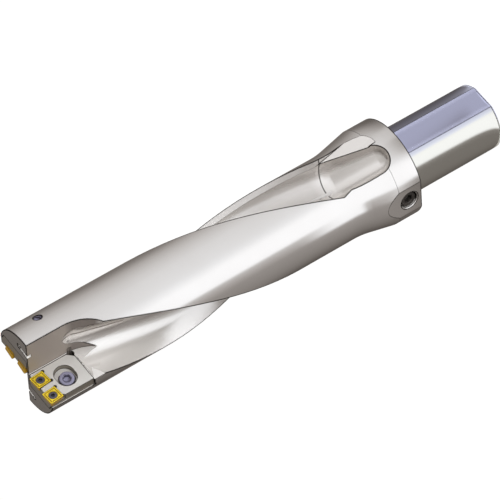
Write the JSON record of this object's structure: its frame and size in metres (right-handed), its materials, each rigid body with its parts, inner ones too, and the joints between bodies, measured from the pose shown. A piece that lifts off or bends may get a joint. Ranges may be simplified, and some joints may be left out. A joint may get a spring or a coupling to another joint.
{
  "type": "indexable drill",
  "caption": "Large indexable drill: a fluted steel body with flange and flatted shank, and screwed cartridges at the tip that carry square cutting inserts.",
  "frame": {"origin": "on the drill's axis, in the plane of the flange's seat, where the shank begins", "axes": "+Z along the axis towards the cutting tip, -Z along the shank; the outer cartridge lies on -Y and cuts towards +X, the inner one lies on +Y and cuts towards -X"},
  "size_m": [0.0745, 0.0736, 0.387],
  "materials": {
    "body_steel": "satin nickel plated steel, warm grey",
    "cartridge_steel": "satin nickel plated steel, slightly darker than the body",
    "clamp_screw_steel": "smooth bluish grey steel",
    "insert_coating": "gold yellow nitride coating on sintered carbide",
    "insert_screw_steel": "smooth dark bluish grey steel",
    "plug_steel": "black oxide steel"
  },
  "bodies": {
    "root": {"drill_body": "body_steel", "outer_cartridge": "cartridge_steel", "inner_cartridge": "cartridge_steel", "outer_clamp_screw": "clamp_screw_steel", "inner_clamp_screw": "clamp_screw_steel", "outer_near_insert": "insert_coating", "outer_far_insert": "insert_coating", "inner_near_insert": "insert_coating", "inner_far_insert": "insert_coating", "outer_near_insert_screw": "insert_screw_steel", "outer_far_insert_screw": "insert_screw_steel", "inner_near_insert_screw": "insert_screw_steel", "inner_far_insert_screw": "insert_screw_steel", "coolant_plug": "plug_steel"}
  },
  "joints": []
}
